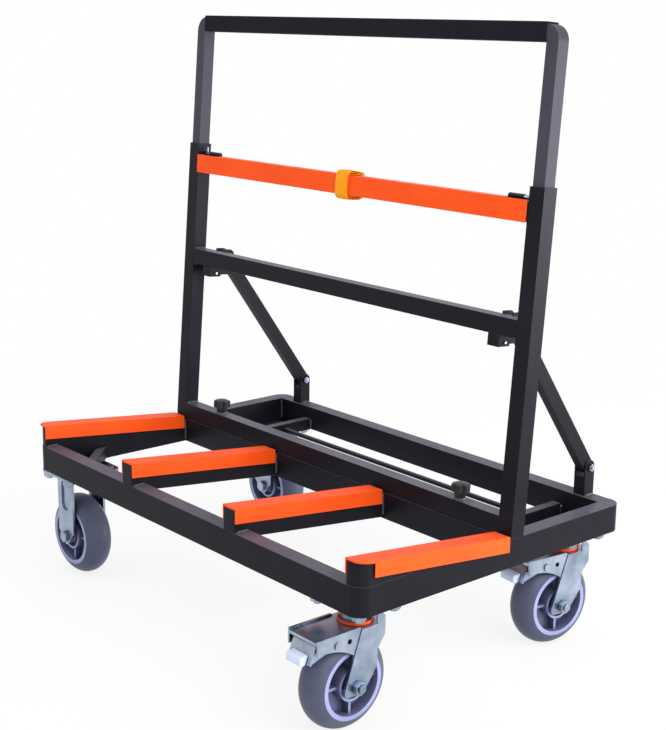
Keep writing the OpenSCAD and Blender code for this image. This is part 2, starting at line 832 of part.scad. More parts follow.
module latch_barrels() {
  color(black) for (s = [left, right]) mirror_x(s) in_upright() difference() {
    union() {
      rod_x(barrel_x0, barrel_x1, latch_off, latch_h, barrel_r);
      translate([barrel_x0, latch_off - barrel_r / 2, latch_h - barrel_r])
        cube([barrel_len, barrel_r, barrel_r]);
    }
    rod_x(barrel_x0 + barrel_end_t, barrel_x1 + over, latch_off, latch_h, bore_r);
  }
}

// the return spring behind each bolt, drawn at its shortest
module latch_springs() {
  rings = 8;
  sides = 6;
  steps = spring_turns * rings;
  points = [
    for (i = [0 : steps]) for (j = [0 : sides - 1])
      let (a = i * 360 / rings, b = j * 360 / sides, r = spring_r + cos(b) * wire_d / 2)
      [i * spring_pitch / rings + sin(b) * wire_d / 2, r * cos(a), r * sin(a)]
  ];
  walls = [
    for (i = [0 : steps - 1]) for (j = [0 : sides - 1])
      let (p = i * sides + j, q = i * sides + (j + 1) % sides)
      each [[p, p + sides, q], [q, p + sides, q + sides]]
  ];
  first_end = [for (j = [1 : sides - 2]) [0, j, j + 1]];
  last_end = [for (j = [1 : sides - 2]) [steps * sides, steps * sides + j + 1, steps * sides + j]];
  color(zinc) for (s = [left, right]) mirror_x(s) in_upright()
    translate([spring_x0, latch_off, latch_h])
      polyhedron(points = points, faces = concat(walls, first_end, last_end));
}

module latch_bolt(side) {
  color(zinc) mirror_x(side) in_upright() {
    rod_x(bolt_shoulder, bolt_tip, latch_off, latch_h, bolt_r);
    rod_x(bolt_shoulder - bolt_guide, bolt_shoulder + over, latch_off, latch_h, tail_r);
    translate([post_in - finger_x, latch_off, latch_h]) cylinder(h = finger_h, d = finger_d);
  }
}

module knob(side) {
  lobe_r = knob_d * 0.16;
  head_z = washer_t + knob_neck_h;
  top_z = head_z + knob_head_h;
  dome_r = knob_d;
  color(black) in_upright() translate([side * knob_at, up_w / 2, up_w]) {
    translate([0, 0, washer_t]) cylinder(h = knob_neck_h, r1 = knob_d * 0.28, r2 = knob_d * 0.34);
    intersection() {
      translate([0, 0, head_z]) union() {
        cylinder(h = knob_head_h, r = knob_d * 0.38);
        for (i = [0 : knob_lobes - 1]) rotate([0, 0, i * 360 / knob_lobes])
          translate([knob_d / 2 - lobe_r, 0, 0]) cylinder(h = knob_head_h, r = lobe_r);
      }
      translate([0, 0, top_z - dome_r]) sphere(r = dome_r);
    }
    translate([0, 0, -up_w - stud_d * 1.5]) cylinder(h = up_w + stud_d * 1.5 + washer_t, d = stud_d);
  }
}

module handle_outline(inset) {
  half = handle_half - inset;
  top = handle_top_h - inset;
  low = latch_h - leg_insert;
  r = max(handle_r - inset, 1);
  difference() {
    union() {
      translate([-half, low]) square([2 * half, top - r - low]);
      translate([-half + r, low]) square([2 * half - 2 * r, top - low]);
      for (x = [-half + r, half - r]) translate([x, top - r]) circle(r);
    }
    translate([-leg_in - inset, low - over])
      square([2 * (leg_in + inset), handle_top_h - leg_w + inset - low + over]);
  }
}

module handle_tube() {
  color(black) in_upright() difference() {
    translate([0, up_w / 2, 0]) front_view(leg_w) handle_outline(0);
    translate([0, up_w / 2, 0]) front_view(leg_w - 2 * wall) handle_bore();
    for (s = [0, 1]) mirror([s, 0, 0])
      rod_x(leg_in - over, leg_in + wall + over, latch_off, latch_h, bolt_r + handle_clear);
  }
}

// hollow of the handle tube, open at both lower ends
module handle_bore() {
  handle_outline(wall);
  low = latch_h - leg_insert;
  for (s = [left, right]) translate([s * post_x - leg_w / 2 + wall, low - over])
    square([leg_w - 2 * wall, leg_insert]);
}

module handle_grip() {
  reach = leg_in - grip_wall / 2;
  w = leg_w + 2 * (grip_clear + grip_wall);
  bore = leg_w + 2 * grip_clear;
  mid_h = handle_top_h - leg_w / 2;
  color(black) in_upright() translate([0, up_w / 2, mid_h]) side_view(2 * reach) difference() {
    translate([-w / 2, -w / 2]) rounded_rect([w, w], grip_r);
    translate([-bore / 2, -bore / 2]) square(bore);
  }
}

module at_fixed(end) {
  in_base() translate([-fixed_at, caster_yy[end], 0]) children();
}

module at_swivel(end) {
  in_base() translate([swivel_at, caster_yy[end], 0]) rotate([0, 0, swivel_turn[end]]) children();
}

module at_swivel_axle(end) {
  at_swivel(end) translate([0, -trail, axle_z]) children();
}

module at_fixed_axle(end) {
  at_fixed(end) translate([0, 0, axle_z]) rotate([0, 0, 90]) children();
}

// top plate with its four holes, middle at the origin
module top_plate(lx, ly, hx, hy) {
  translate([0, 0, plate_z]) linear_extrude(height = plate_t) difference() {
    translate([-lx / 2, -ly / 2]) rounded_rect([lx, ly], plate_r);
    for (x = [-hx / 2, hx / 2], y = [-hy / 2, hy / 2])
      translate([x, y]) circle(d = bolt_d + 2 * bolt_clear);
  }
}

// pressed fork: plate and two legs with a groove pressed inwards down the upper half
module fixed_fork(end) {
  c = [0, axle_z - fixed_drop + fixed_leg_r];
  a = [-fixed_leg_w / 2, axle_z + fixed_taper];
  b = [fixed_leg_w / 2, axle_z + fixed_taper];
  press = groove_d + groove_wall - fork_t;
  groove_top = plate_z - groove_end - groove_w / 2;
  half_w = groove_w / 2;
  pad_w = half_w + groove_wall / 2;
  color(zinc) at_fixed(end) {
    top_plate(plate_s, plate_l, hole_s, hole_l);
    for (s = [left, right]) difference() {
      union() {
        translate([0, s * (fork_in + fork_t / 2), 0]) front_view(fork_t) {
          translate(a) square([fixed_leg_w, plate_z - a[1]]);
          polygon([a, b, tangent(b, c, fixed_leg_r - arc_lap, -1), tangent(a, c, fixed_leg_r - arc_lap, 1)]);
          translate(c) circle(fixed_leg_r);
        }
        translate([0, s * (fork_in - press / 2 + over / 2), 0]) front_view(press + over) polygon([
          [-pad_w, groove_z], [-half_w / 2, groove_z - pad_w], [half_w / 2, groove_z - pad_w],
          [pad_w, groove_z], [pad_w, groove_top], [half_w / 2, groove_top + pad_w],
          [-half_w / 2, groove_top + pad_w], [-pad_w, groove_top]
        ]);
      }
      translate([0, s * (fork_in + fork_t / 2), axle_z]) rotate([90, 0, 0])
        cylinder(h = fork_t + 2 * over, r = axle_r + axle_clear, center = true);
      translate([0, s * (fork_out - groove_d / 2 + over), 0]) front_view(groove_d + 2 * over) {
        translate([-half_w, groove_z]) square([groove_w, groove_top - groove_z]);
        for (z = [groove_z, groove_top]) translate([0, z]) circle(d = groove_w);
      }
    }
  }
}

// axle bolt along X with its nut, middle of the wheel at the origin
module axle_bolt() {
  hex = axle_d * hex_k;
  nut = fork_out + axle_d * nut_k;
  rod_x(-fork_out - over, nut + thread_out, 0, 0, axle_r);
  hex_x(-fork_out - axle_d * head_k, -fork_out, 0, 0, hex);
  difference() {
    hex_x(fork_out, nut, 0, 0, hex);
    rod_x(fork_out - over, nut + over, 0, 0, axle_r + axle_clear);
  }
}

module fixed_axles() {
  color(zinc) for (e = [front, rear]) at_fixed_axle(e) axle_bolt();
}

module swivel_axle(end) {
  color(zinc) at_swivel_axle(end) axle_bolt();
}

// top plates with swivel head and king pin; the plates stand square to the base
module swivel_plates() {
  color(zinc) for (e = [front, rear]) in_base() translate([swivel_at, caster_yy[e], 0]) {
    top_plate(plate_l, plate_s, hole_l, hole_s);
    translate([0, 0, race_z]) cylinder(h = plate_z - race_z, r = head_r);
    translate([0, 0, crown_under - race_gap - over])
      cylinder(h = race_z - crown_under + race_gap + 2 * over, r = king_r);
    translate([0, 0, crown_under - race_gap - king_head_t])
      cylinder(h = king_head_t, r = king_head_r);
  }
}

// studs under the rails with their nuts, three to a caster
module caster_bolts() {
  color(zinc) for (e = [front, rear]) {
    flip = e == front ? 1 : -1;
    for (p = [[-1, -1], [-1, 1], [1, -1]]) {
      in_base() translate([-fixed_at + p[0] * hole_s / 2, caster_yy[e] + flip * p[1] * hole_l / 2, 0])
        caster_stud();
      in_base() translate([swivel_at - p[0] * hole_l / 2, caster_yy[e] + flip * p[1] * hole_s / 2, 0])
        caster_stud();
    }
  }
}

module caster_stud() {
  nut_t = bolt_d * nut_k;
  translate([0, 0, plate_z - nut_t - thread_out])
    cylinder(h = plate_t + nut_t + thread_out, d = bolt_d);
  translate([0, 0, plate_z - nut_t]) difference() {
    cylinder(h = nut_t, r = bolt_d * hex_k, $fn = 6);
    translate([0, 0, -over]) cylinder(h = nut_t + 2 * over, d = bolt_d + 2 * axle_clear);
  }
}

module ring(z, h, r0, r1) {
  translate([0, 0, z]) difference() {
    cylinder(h = h, r = r1);
    translate([0, 0, -over]) cylinder(h = h + 2 * over, r = r0);
  }
}

module swivel_seals() {
  color(orange) for (e = [front, rear]) at_swivel(e)
    ring(crown_z + seal_rise, seal_h, head_r + seal_clear, head_r + seal_w);
}

module lower_seal(end) {
  color(orange) at_swivel(end) ring(crown_z, seal_h, race_r + seal_clear, race_r + seal_w);
}

// fork leg seen from the side, as [y, z] from the swivel axis and the floor
module fork_leg() {
  f = [-leg_front, crown_z];
  k = [leg_back, leg_knee_z];
  toe_z = axle_z - toe_drop + toe_r;
  c1 = [toe_r - toe_front - trail, toe_z];
  c2 = [toe_back - toe_r - trail, toe_z];
  polygon([
    f, [leg_back, crown_z], k, tangent(k, c2, toe_r, -1), c2 - [0, toe_r], c1 - [0, toe_r],
    tangent(f, c1, toe_r, 1)
  ]);
  for (c = [c1, c2]) translate(c) circle(toe_r);
}

// side of the brake housing, arched over the tyre
module housing_side() {
  difference() {
    polygon([
      [-housing_l, crown_z + lip_h], [-leg_front - lip_h, crown_z + lip_h], [-leg_front, crown_z],
      [-leg_front, crown_z - housing_h], [-housing_l, crown_z - housing_h]
    ]);
    translate([-arch_y, crown_z - housing_nose_h - arch_r]) circle(arch_r);
  }
}

// ear that rises behind the leg
module fork_ear() {
  polygon([
    [leg_back - over, crown_z - ear_drop], [leg_back, crown_z - ear_drop],
    [ear_back, crown_z - ear_drop / 2], [ear_back, crown_z + ear_rise - toe_r],
    [ear_back - toe_r, crown_z + ear_rise], [leg_back - over, crown_z + ear_rise]
  ]);
}

module swivel_fork(end) {
  relief_y = pin_yz[0] + relief_back;
  side_t = fork_t - joggle;
  ear_w = fork_t - crease_d;
  head_r2 = pedal_pin_d / 2 + rivet_lip;
  color(zinc) at_swivel(end) difference() {
    union() {
      for (s = [0, 1]) mirror([s, 0, 0]) {
        difference() {
          translate([fork_in + fork_t / 2, 0, 0]) side_view(fork_t) fork_leg();
          linear_extrude(height = crown_under) polygon([
            [fork_out, -crease_y], [fork_out - crease_d, leg_back],
            [fork_out - crease_d, leg_back + over], [fork_out + over, leg_back + over],
            [fork_out + over, -crease_y]
          ]);
        }
        translate([fork_in + side_t / 2, 0, 0]) side_view(side_t) housing_side();
        translate([fork_in + ear_w / 2, 0, 0]) side_view(ear_w) fork_ear();
        rod_x(fork_in, fork_in + side_t + rivet_h, pin_yz[0], pin_yz[1], head_r2);
      }
      translate([-fork_in - over, -housing_l, crown_under]) cube([2 * (fork_in + over), housing_l, fork_t]);
      translate([0, 0, crown_under]) cylinder(h = fork_t, r = fork_out);
      translate([0, 0, crown_z - over]) cylinder(h = race_h + over, r = race_r);
      rod_x(-fork_in - over, fork_in + over, pin_yz[0], pin_yz[1], pedal_pin_d / 2);
    }
    translate([0, 0, crown_under - over])
      cylinder(h = fork_t + race_h + 2 * over, r = king_r + king_clear);
    rod_x(-fork_out - over, fork_out + over, -trail, axle_z, axle_r + axle_clear);
    for (s = [0, 1]) mirror([s, 0, 0])
      rod_x(fork_in - over, fork_out + over, relief_y, pin_yz[1], pedal_pin_d / 2);
  }
}

// bent sheet pedal: two lugs on the pin and a sloping front plate
module brake_pedal(end) {
  dir = (pedal_low - pedal_top) / norm(pedal_low - pedal_top);
  inward = [dir[1] * -pedal_t, dir[0] * pedal_t];
  color(zinc) at_swivel(end) {
    for (s = [left, right]) translate([s * (pedal_w - pedal_t) / 2, 0, 0]) side_view(pedal_t) difference() {
      union() {
        polygon([pin_yz + [0, lug_r], pedal_top, pedal_low, pin_yz - [0, lug_r]]);
        translate(pin_yz) circle(lug_r);
      }
      translate(pin_yz) circle(pedal_pin_d / 2 + pedal_clear);
    }
    side_view(pedal_w) polygon([pedal_top, pedal_low, pedal_low + inward, pedal_top + inward]);
  }
}

// plastic tip on the pedal's front plate
module pedal_tip(end) {
  top = along(pedal_top, pedal_low, tip_start);
  low = along(pedal_top, pedal_low, tip_stop);
  color(lavender) at_swivel(end) side_view(tip_w) polygon([
    top, [tip_cut - tip_reach, top[1]], [-tip_reach, top[1] - tip_cut], [-tip_reach, low[1]],
    [tip_cut - tip_reach, low[1] - tip_cut], [low[0] - tip_cut, low[1] - tip_cut], low
  ]);
}

// axle along X, middle of the wheel at the origin
module tyre() {
  color(tread_grey) rotate([0, 90, 0]) rotate_extrude() intersection() {
    translate([wheel_r - tread_r, 0]) circle(tread_r);
    translate([rim_r, -hub_half]) square([wheel_r, wheel_w]);
  }
}

module hub() {
  rim_in = rim_r - rim_t;
  core_half = fork_in - boss_gap;
  rib_h = wheel_w - 2 * rib_inset;
  color(lavender) rotate([0, 90, 0]) difference() {
    union() {
      difference() {
        union() {
          ring(-hub_half, wheel_w, rim_in, rim_r);
          cylinder(h = hub_web, r = rim_in + over, center = true);
          cylinder(h = wheel_w - 2 * boss_inset, r = boss_r, center = true);
          for (i = [0 : hub_ribs - 1]) rotate([0, 0, i * 360 / hub_ribs])
            translate([0, -rib_t / 2, -rib_h / 2]) cube([rim_in + over, rib_t, rib_h]);
        }
        for (s = [0, 1]) mirror([0, 0, s]) translate([0, 0, hub_half - boss_sink])
          cylinder(h = boss_sink + over, r = boss_r - boss_wall);
      }
      cylinder(h = 2 * core_half, r = core_r, center = true);
    }
    cylinder(h = 2 * core_half + 2 * over, r = axle_r + axle_clear, center = true);
  }
}

front_rail();
rear_rail();
end_rail(left);  // left_end_rail
end_rail(right);  // right_end_rail
mid_rail();
end_bar(left);  // left_end_bar
mid_bar(-bar_pitch / 2);  // left_mid_bar
mid_bar(bar_pitch / 2);  // right_mid_bar
end_bar(right);  // right_end_bar
end_cap(left);  // left_end_cap
mid_cap(-bar_pitch / 2);  // left_mid_cap
mid_cap(bar_pitch / 2);  // right_mid_cap
end_cap(right);  // right_end_cap
corner_gussets();
cross_members();
brace_rod();
lower_brackets();
post(left);  // left_post
post(right);  // right_post
bottom_rail();
mid_crossbar();
upper_crossbar();
upper_pad();
upper_brackets();
strut(left);  // left_strut
strut(right);  // right_strut
frame_hardware();
strap_loop();
latch_barrels();
latch_springs();
latch_bolt(left);  // left_latch_bolt
latch_bolt(right);  // right_latch_bolt
knob(left);  // left_knob
knob(right);  // right_knob
handle_tube();
handle_grip();
fixed_fork(front);  // fixed_fork_front
fixed_fork(rear);  // fixed_fork_rear
fixed_axles();
swivel_plates();
caster_bolts();
swivel_seals();
swivel_fork(front);  // swivel_fork_front
swivel_fork(rear);  // swivel_fork_rear
swivel_axle(front);  // swivel_axle_front
swivel_axle(rear);  // swivel_axle_rear
lower_seal(front);  // lower_seal_front
lower_seal(rear);  // lower_seal_rear
brake_pedal(front);  // brake_pedal_front
brake_pedal(rear);  // brake_pedal_rear
pedal_tip(front);  // pedal_tip_front
pedal_tip(rear);  // pedal_tip_rear
at_fixed_axle(front) hub();  // front_left_hub
at_fixed_axle(rear) hub();  // rear_left_hub
at_swivel_axle(front) hub();  // front_right_hub
at_swivel_axle(rear) hub();  // rear_right_hub
at_fixed_axle(front) tyre();  // front_left_tyre
at_fixed_axle(rear) tyre();  // rear_left_tyre
at_swivel_axle(front) tyre();  // front_right_tyre
at_swivel_axle(rear) tyre();  // rear_right_tyre
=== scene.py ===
import json
import math

import bpy
import numpy as np
from mathutils import Matrix, Vector


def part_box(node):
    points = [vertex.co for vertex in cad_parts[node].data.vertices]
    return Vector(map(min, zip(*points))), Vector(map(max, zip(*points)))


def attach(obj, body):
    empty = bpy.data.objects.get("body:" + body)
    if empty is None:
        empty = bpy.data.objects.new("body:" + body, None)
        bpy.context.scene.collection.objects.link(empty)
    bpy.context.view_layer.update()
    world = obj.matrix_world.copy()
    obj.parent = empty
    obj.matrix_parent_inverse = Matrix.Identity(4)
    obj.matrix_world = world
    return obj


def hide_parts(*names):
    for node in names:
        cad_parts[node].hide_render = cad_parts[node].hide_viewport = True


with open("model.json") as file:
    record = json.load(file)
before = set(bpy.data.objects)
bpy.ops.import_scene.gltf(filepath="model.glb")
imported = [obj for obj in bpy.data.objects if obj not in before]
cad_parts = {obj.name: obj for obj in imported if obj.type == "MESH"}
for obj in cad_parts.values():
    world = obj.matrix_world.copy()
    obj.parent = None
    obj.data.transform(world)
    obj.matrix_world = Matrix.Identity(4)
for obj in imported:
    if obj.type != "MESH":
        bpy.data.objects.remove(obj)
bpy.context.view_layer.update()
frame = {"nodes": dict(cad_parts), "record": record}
nodes = frame["nodes"]
print("stage: frame loaded")

# middle, front face, underside and top of the base, read from its front rail
railLow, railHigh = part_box("front_rail")
base = {"x": (railLow[0] + railHigh[0]) / 2, "y": railLow[1], "under": railLow[2], "top": railHigh[2],
        "half": (railHigh[0] - railLow[0]) / 2}

# leaning upright: backward lean, its tube size and where it stands on the base
upright = {"lean": math.radians(4.33), "tube": 0.025, "foot": 0.271}


# base coordinates: x from the middle of the base, y from its front face, z above its rails
def inBase(x, y, z):
    parts = np.broadcast_arrays(np.asarray(x) + base["x"], np.asarray(y) + base["y"], np.asarray(z) + base["top"])
    return np.stack(parts, -1).astype(float)


# upright coordinates: x, distance behind the front plane, height along the leaning posts
def inUpright(x, off, h):
    s, c = math.sin(upright["lean"]), math.cos(upright["lean"])
    lift = upright["tube"] * s
    off, h = np.asarray(off, float), np.asarray(h, float)
    return inBase(x, upright["foot"] + lift * s / c + off * c + h * s, lift - off * s + h * c)


# camera solved from the photograph's frame edges: its place from the middle and front of the base and
# from the rails' underside in metres, its focal length and shift in pixels of a picture 730 tall
view = {"place": (1.58736, -1.08611, 0.72212), "azimuth": 49.07, "elevation": 13.89, "roll": 0.66,
        "focal": 1430.9, "drop": 0.5, "tall": 730, "sensor": 36.0}


def makeCamera():
    az, el, roll = (math.radians(view[k]) for k in ("azimuth", "elevation", "roll"))
    back = Vector((math.sin(az) * math.cos(el), -math.cos(az) * math.cos(el), math.sin(el)))
    side = (-back).cross(Vector((0, 0, 1))).normalized()
    up = side.cross(-back)
    right = math.cos(roll) * side + math.sin(roll) * up
    above = -math.sin(roll) * side + math.cos(roll) * up
    data = bpy.data.cameras.new("camera")
    data.sensor_fit = "VERTICAL"
    data.sensor_height = view["sensor"]
    data.lens = view["focal"] * view["sensor"] / view["tall"]
    data.shift_y = -view["drop"] / view["tall"]
    camera = bpy.data.objects.new("camera", data)
    bpy.context.scene.collection.objects.link(camera)
    place = Vector((base["x"], base["y"], base["under"])) + Vector(view["place"])
    camera.matrix_world = Matrix.Translation(place) @ Matrix((right, above, back)).transposed().to_4x4()
    bpy.context.scene.camera = camera


makeCamera()
print("stage: camera made")


def makeGroup(name, inputs, outputs):
    tree = bpy.data.node_groups.new(name, "ShaderNodeTree")
    for label, value in inputs:
        tree.interface.new_socket(name=label, in_out="INPUT", socket_type="NodeSocketFloat").default_value = value
    for label, kind in outputs:
        tree.interface.new_socket(name=label, in_out="OUTPUT", socket_type=kind)
    return tree, tree.nodes.new("NodeGroupInput"), tree.nodes.new("NodeGroupOutput")


# a socket's own value, or a link where another socket is given
def feed(tree, socket, value):
    if isinstance(value, bpy.types.NodeSocket):
        tree.links.new(value, socket)
    else:
        socket.default_value = value


def addNode(tree, kind, inputs=None, **settings):
    node = tree.nodes.new(kind)
    for key, value in settings.items():
        setattr(node, key, value)
    for key, value in (inputs or {}).items():
        feed(tree, node.inputs[key], value)
    return node


def noiseNode(tree, vector, scale, detail=2.0, rough=0.5):
    given = {"Vector": vector, "Scale": scale, "Detail": detail, "Roughness": rough}
    return addNode(tree, "ShaderNodeTexNoise", given).outputs["Fac"]


def rangeNode(tree, value, low, high, toLow, toHigh):
    given = {"Value": value, "From Min": low, "From Max": high, "To Min": toLow, "To Max": toHigh}
    return addNode(tree, "ShaderNodeMapRange", given).outputs["Result"]


def mathNode(tree, operation, a, b=0.0):
    return addNode(tree, "ShaderNodeMath", {0: a, 1: b}, operation=operation).outputs[0]


# shared effects: bump strength, spans of the noises that drive tone, roughness and dust with painted sheen, the
# upward facing that gets dust and a painted sheen of light from above, the fine noise's scale against the wide one,
# the pale purple grey of that dust and painted sheen, and the span of openness darkened as painted shade in a
# recess
effect = {"bump": 0.35, "tone": (0.32, 0.68), "rough": (0.3, 0.7), "dustAndSheenNoise": (0.16, 0.42), "dustAndSheenLeast": 0.7,
          "dustAndSheenFine": 16.0, "dustAndSheenUp": (0.4, 1.0), "dustAndSheenColour": (0.33, 0.31, 0.42), "open": (0.25, 0.95)}


# fine pebble from a small noise, and a cloudy shade and roughness from a large one
def surfaceGroup():
    tree, given, out = makeGroup(
        "surfaceGrain",
        [("Grain", 700.0), ("Height", 0.0001), ("Cloud", 8.0), ("Rough Low", 0.3), ("Rough High", 0.5)],
        [("Shade", "NodeSocketFloat"), ("Rough", "NodeSocketFloat"), ("Normal", "NodeSocketVector")])
    place = addNode(tree, "ShaderNodeTexCoord").outputs["Object"]
    fine = noiseNode(tree, place, given.outputs["Grain"], 3.0)
    wide = noiseNode(tree, place, given.outputs["Cloud"], 4.0, 0.6)
    rough = rangeNode(tree, wide, *effect["rough"], given.outputs["Rough Low"], given.outputs["Rough High"])
    bump = addNode(tree, "ShaderNodeBump", {"Strength": effect["bump"], "Distance": given.outputs["Height"],
                                            "Height": fine})
    feed(tree, out.inputs["Shade"], rangeNode(tree, wide, *effect["tone"], 0.0, 1.0))
    feed(tree, out.inputs["Rough"], rough)
    feed(tree, out.inputs["Normal"], bump.outputs["Normal"])
    return tree


# dust and painted sheen mask: where the surface faces up, as dust and as a painted sheen of light from above,
# broken by a wide and a fine noise multiplied
def dustAndSheenGroup():
    tree, given, out = makeGroup("upwardDustAndSheen", [("Amount", 0.1), ("Patch", 9.0)], [("Dust And Sheen", "NodeSocketFloat")])
    place = addNode(tree, "ShaderNodeTexCoord").outputs["Object"]
    wide = noiseNode(tree, place, given.outputs["Patch"], 3.0)
    fine = noiseNode(tree, place, mathNode(tree, "MULTIPLY", given.outputs["Patch"], effect["dustAndSheenFine"]))
    both = mathNode(tree, "MULTIPLY", wide, fine)
    broken = rangeNode(tree, both, *effect["dustAndSheenNoise"], effect["dustAndSheenLeast"], 1.0)
    normal = addNode(tree, "ShaderNodeNewGeometry").outputs["Normal"]
    up = addNode(tree, "ShaderNodeSeparateXYZ", {0: normal}).outputs["Z"]
    facing = rangeNode(tree, up, *effect["dustAndSheenUp"], 0.0, given.outputs["Amount"])
    feed(tree, out.inputs["Dust And Sheen"], mathNode(tree, "MULTIPLY", facing, broken))
    return tree


# painted shade mask for recesses: how far nearby surfaces close in on the point, from ambient occlusion within a
# reach
def recessGroup():
    tree, given, out = makeGroup("recessShade", [("Reach", 0.02), ("Amount", 0.8)], [("Painted Shade", "NodeSocketFloat")])
    near = addNode(tree, "ShaderNodeAmbientOcclusion", {"Distance": given.outputs["Reach"]}, samples=6)
    shade = rangeNode(tree, near.outputs["AO"], *effect["open"], given.outputs["Amount"], 0.0)
    feed(tree, out.inputs["Painted Shade"], shade)
    return tree


surfaceGrain = surfaceGroup()
upwardDustAndSheen = dustAndSheenGroup()
recessShade = recessGroup()


def fillGroup(tree, group, values):
    node = tree.nodes.new("ShaderNodeGroup")
    node.node_tree = group
    for key, value in values.items():
        feed(tree, node.inputs[key], value)
    return node


def mixColour(tree, factor, a, b):
    node = addNode(tree, "ShaderNodeMix", data_type="RGBA")
    feed(tree, node.inputs["Factor"], factor)
    for key, value in (("A", a), ("B", b)):
        socket = [s for s in node.inputs if s.name == key and s.type == "RGBA"][0]
        feed(tree, socket, value if isinstance(value, bpy.types.NodeSocket) else (*value, 1))
    return [s for s in node.outputs if s.type == "RGBA"][0]


# two close tones driven by the cloudy shade, with dust and a painted sheen on what faces up, and painted shade in
# recesses
def toneMaterial(name, look):
    mat = bpy.data.materials.new(name)
    mat.use_nodes = True
    tree = mat.node_tree
    shader = tree.nodes["Principled BSDF"]
    for key, value in look.get("shader", {}).items():
        shader.inputs[key].default_value = value
    skin = fillGroup(tree, surfaceGrain, {
        "Grain": look["grain"], "Height": look["height"], "Cloud": look["cloud"],
        "Rough Low": look["rough"][0], "Rough High": look["rough"][1]})
    colour = mixColour(tree, skin.outputs["Shade"], look["low"], look["high"])
    if "dustAndSheen" in look:
        # dust and painted sheen: upward faces lightened toward a pale purple grey
        dustAndSheen = fillGroup(tree, upwardDustAndSheen, {"Amount": look["dustAndSheen"]})
        colour = mixColour(tree, dustAndSheen.outputs["Dust And Sheen"], colour, effect["dustAndSheenColour"])
    if "recess" in look:
        # painted shade: recesses darkened toward a dark colour, from ambient occlusion
        reach, amount, paintedShadeColour = look["recess"]
        shade = fillGroup(tree, recessShade, {"Reach": reach, "Amount": amount})
        colour = mixColour(tree, shade.outputs["Painted Shade"], colour, paintedShadeColour)
    feed(tree, shader.inputs["Base Color"], colour)
    feed(tree, shader.inputs["Roughness"], skin.outputs["Rough"])
    feed(tree, shader.inputs["Normal"], skin.outputs["Normal"])
    return mat


# finishes by material slot: two base colours, grain per metre and its height, cloud per metre, roughness span,
# amount of dust and painted sheen, and for recesses the reach, amount and colour of their painted shade
coatTint = {"Specular IOR Level": 0.09, "Specular Tint": (0.90, 0.86, 1.0, 1)}
looks = {
    # black coat: its dust amount is mostly a painted sheen, lightening the top faces as if they reflected the sky
    "black_coat": {"low": (0.0078, 0.0076, 0.0108), "high": (0.0125, 0.0120, 0.0165), "grain": 700.0,
                   "height": 0.00012, "cloud": 7.0, "rough": (0.34, 0.46), "dustAndSheen": 0.34, "shader": coatTint},
    # weld: its dust amount is partly a painted sheen on the top of the beads
    "weld": {"low": (0.0090, 0.0088, 0.0120), "high": (0.0140, 0.0135, 0.0180), "grain": 500.0,
             "height": 0.0002, "cloud": 60.0, "rough": (0.20, 0.34), "dustAndSheen": 0.20,
             "shader": {"Specular IOR Level": 0.7}},
    "orange_cap": {"low": (0.93, 0.082, 0.0060), "high": (0.98, 0.098, 0.0080), "grain": 1500.0,
                   "height": 0.00005, "cloud": 12.0, "rough": (0.42, 0.54), "dustAndSheen": 0.03,
                   "shader": {"Specular IOR Level": 0.14}},
    "orange_seal": {"low": (0.80, 0.075, 0.010), "high": (0.92, 0.100, 0.014), "grain": 900.0,
                    "height": 0.0001, "cloud": 16.0, "rough": (0.42, 0.58)},
    # tread: its recess colour is painted shade where the fork and hub close in
    "tread": {"low": (0.062, 0.070, 0.118), "high": (0.084, 0.094, 0.150), "grain": 900.0,
              "height": 0.0001, "cloud": 16.0, "rough": (0.33, 0.46), "dustAndSheen": 0.06,
              "recess": (0.02, 0.4, (0.020, 0.021, 0.034)), "shader": {"Specular IOR Level": 0.22}},
    # hub: its recess colour is painted shade deep in the dish
    "hub": {"low": (0.265, 0.290, 0.510), "high": (0.320, 0.345, 0.580), "grain": 1500.0,
            "height": 0.00005, "cloud": 12.0, "rough": (0.36, 0.48), "recess": (0.035, 0.9, (0.035, 0.040, 0.085))},
    "pedal_tip": {"low": (0.54, 0.64, 0.84), "high": (0.62, 0.71, 0.89), "grain": 1500.0,
                  "height": 0.00005, "cloud": 14.0, "rough": (0.34, 0.46)},
    "grip": {"low": (0.010, 0.0095, 0.014), "high": (0.016, 0.0150, 0.021), "grain": 1100.0,
             "height": 0.0004, "cloud": 20.0, "rough": (0.66, 0.84), "dustAndSheen": 0.04,
             "shader": {"Specular IOR Level": 0.08, "Specular Tint": (0.90, 0.86, 1.0, 1)}},
    "knob": {"low": (0.012, 0.012, 0.015), "high": (0.020, 0.020, 0.024), "grain": 1500.0,
             "height": 0.00005, "cloud": 14.0, "rough": (0.34, 0.46), "dustAndSheen": 0.05,
             "shader": {"Specular IOR Level": 0.35}},
    # zinc: its recess colour is painted shade in grooves and gaps
    "zinc": {"low": (0.24, 0.305, 0.410), "high": (0.42, 0.485, 0.585), "grain": 420.0,
             "height": 0.00006, "cloud": 26.0, "rough": (0.22, 0.40),
             "recess": (0.012, 0.85, (0.055, 0.055, 0.060)), "shader": {"Metallic": 1.0}},
    "handle": {"low": (0.049, 0.047, 0.066), "high": (0.064, 0.062, 0.083), "grain": 900.0,
               "height": 0.00006, "cloud": 9.0, "rough": (0.44, 0.56), "dustAndSheen": 0.03,
               "shader": {"Specular IOR Level": 0.12}},
}
names = {"black_coat": "blackCoat", "orange_cap": "orangeCap", "orange_seal": "orangeSeal", "tread": "treadRubber",
         "hub": "hubPlastic", "pedal_tip": "tipPlastic", "grip": "gripSleeve", "knob": "knobPlastic",
         "zinc": "zincPlate", "handle": "handleCoat", "weld": "weldCoat"}
materials = {key: toneMaterial(names[key], look) for key, look in looks.items()}
print("stage: materials made")

